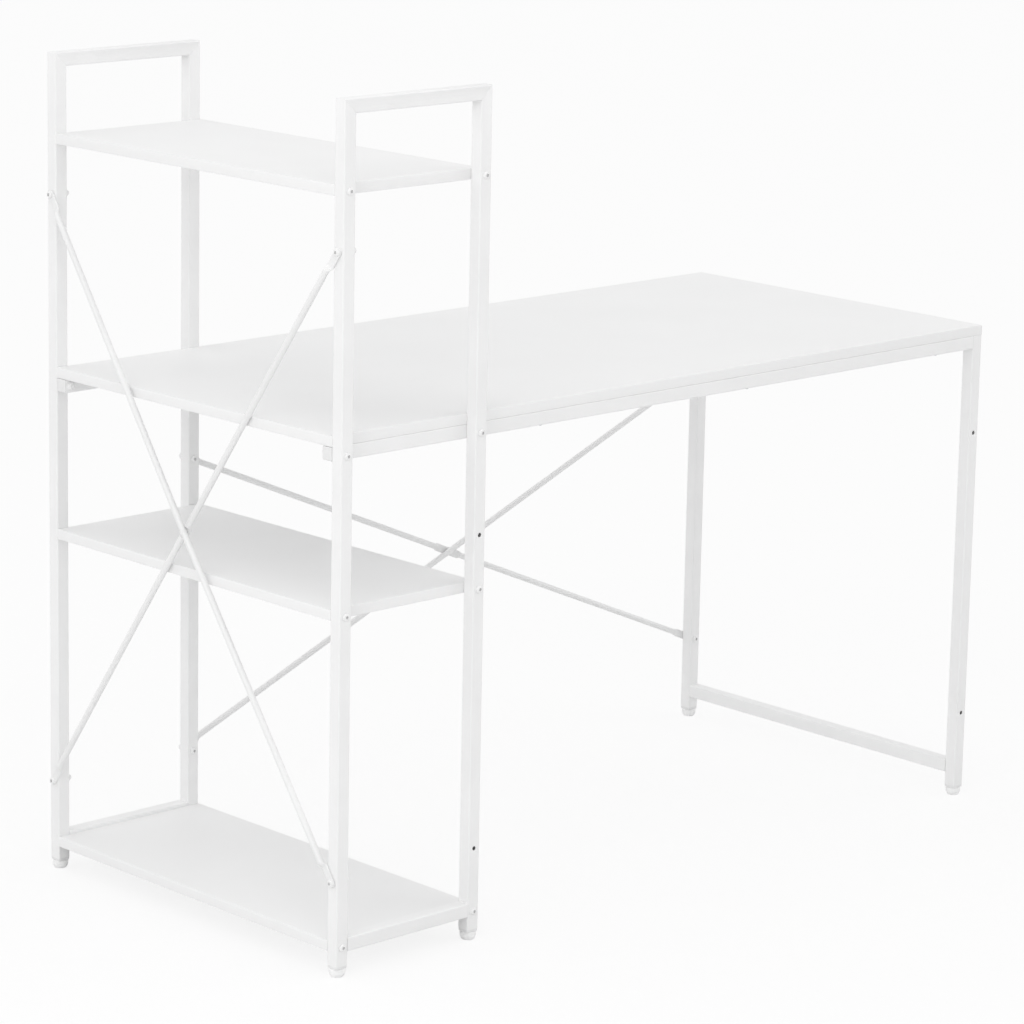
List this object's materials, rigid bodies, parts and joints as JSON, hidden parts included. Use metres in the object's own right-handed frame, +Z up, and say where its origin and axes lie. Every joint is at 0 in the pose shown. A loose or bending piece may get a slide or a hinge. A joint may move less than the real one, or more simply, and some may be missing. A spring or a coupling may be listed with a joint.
{
  "type": "computer desk",
  "caption": "Computer desk with a square-tube steel frame, a white desktop that runs through an open shelf tower at its left end, crossed braces and levelling feet.",
  "frame": {"origin": "on the floor, under the middle of the whole desk", "axes": "+X along the desk from the shelf tower to the open leg, +Y from the sitter to the back, +Z up"},
  "size_m": [1.3378, 0.6558, 1.2],
  "materials": {
    "white_frame_steel": "satin powder coat",
    "white_brace_steel": "satin powder coat",
    "white_fastener_steel": "white lacquered steel",
    "white_board": "satin white melamine on particle board",
    "white_plug_plastic": "moulded",
    "white_foot_plastic": "moulded",
    "zinc_steel": "bright zinc"
  },
  "bodies": {
    "desk_frame": {"back_brace_bolts": "white_fastener_steel", "back_brace_nuts": "white_fastener_steel", "back_brace_pressed_rod": "white_brace_steel", "back_brace_rivet": "white_fastener_steel", "back_brace_round_rod": "white_brace_steel", "back_left_post": "white_frame_steel", "back_long_rail": "white_frame_steel", "back_low_rail": "white_frame_steel", "back_right_post": "white_frame_steel", "back_top_rail": "white_frame_steel", "bottom_shelf": "white_board", "bottom_shelf_bolts": "white_fastener_steel", "bottom_shelf_dowels": "zinc_steel", "desktop": "white_board", "desktop_screws": "zinc_steel", "front_left_post": "white_frame_steel", "front_long_rail": "white_frame_steel", "front_low_rail": "white_frame_steel", "front_right_post": "white_frame_steel", "front_top_rail": "white_frame_steel", "leg_back_foot_plug": "white_plug_plastic", "leg_back_post": "white_frame_steel", "leg_bolts": "white_fastener_steel", "leg_front_foot_plug": "white_plug_plastic", "leg_front_post": "white_frame_steel", "leg_low_rail": "white_frame_steel", "leg_top_rail": "white_frame_steel", "middle_shelf": "white_board", "middle_shelf_bolts": "white_fastener_steel", "middle_shelf_dowels": "zinc_steel", "rail_bolts": "white_fastener_steel", "rail_end_inserts": "zinc_steel", "rail_end_plugs": "white_plug_plastic", "rail_nuts": "white_fastener_steel", "side_brace_bolts": "white_fastener_steel", "side_brace_nuts": "white_fastener_steel", "side_brace_pressed_rod": "white_brace_steel", "side_brace_rivet": "white_fastener_steel", "side_brace_round_rod": "white_brace_steel", "top_shelf": "white_board", "top_shelf_bolts": "white_fastener_steel", "top_shelf_dowels": "zinc_steel", "tower_back_left_foot_plug": "white_plug_plastic", "tower_back_right_foot_plug": "white_plug_plastic", "tower_front_left_foot_plug": "white_plug_plastic", "tower_front_right_foot_plug": "white_plug_plastic"},
    "tower_front_left_foot": {"tower_front_left_foot_pad": "white_foot_plastic", "tower_front_left_foot_stud": "zinc_steel"},
    "tower_front_right_foot": {"tower_front_right_foot_pad": "white_foot_plastic", "tower_front_right_foot_stud": "zinc_steel"},
    "tower_back_left_foot": {"tower_back_left_foot_pad": "white_foot_plastic", "tower_back_left_foot_stud": "zinc_steel"},
    "tower_back_right_foot": {"tower_back_right_foot_pad": "white_foot_plastic", "tower_back_right_foot_stud": "zinc_steel"},
    "leg_front_foot": {"leg_front_foot_pad": "white_foot_plastic", "leg_front_foot_stud": "zinc_steel"},
    "leg_back_foot": {"leg_back_foot_pad": "white_foot_plastic", "leg_back_foot_stud": "zinc_steel"}
  },
  "joints": [
    {"name": "tower_front_left_foot_height", "type": "slide", "parent": "desk_frame", "child": "tower_front_left_foot", "axis": [0, 0, -1], "range_m": [0, 0.008]},
    {"name": "tower_front_right_foot_height", "type": "slide", "parent": "desk_frame", "child": "tower_front_right_foot", "axis": [0, 0, -1], "range_m": [0, 0.008]},
    {"name": "tower_back_left_foot_height", "type": "slide", "parent": "desk_frame", "child": "tower_back_left_foot", "axis": [0, 0, -1], "range_m": [0, 0.008]},
    {"name": "tower_back_right_foot_height", "type": "slide", "parent": "desk_frame", "child": "tower_back_right_foot", "axis": [0, 0, -1], "range_m": [0, 0.008]},
    {"name": "leg_front_foot_height", "type": "slide", "parent": "desk_frame", "child": "leg_front_foot", "axis": [0, 0, -1], "range_m": [0, 0.008]},
    {"name": "leg_back_foot_height", "type": "slide", "parent": "desk_frame", "child": "leg_back_foot", "axis": [0, 0, -1], "range_m": [0, 0.008]}
  ]
}
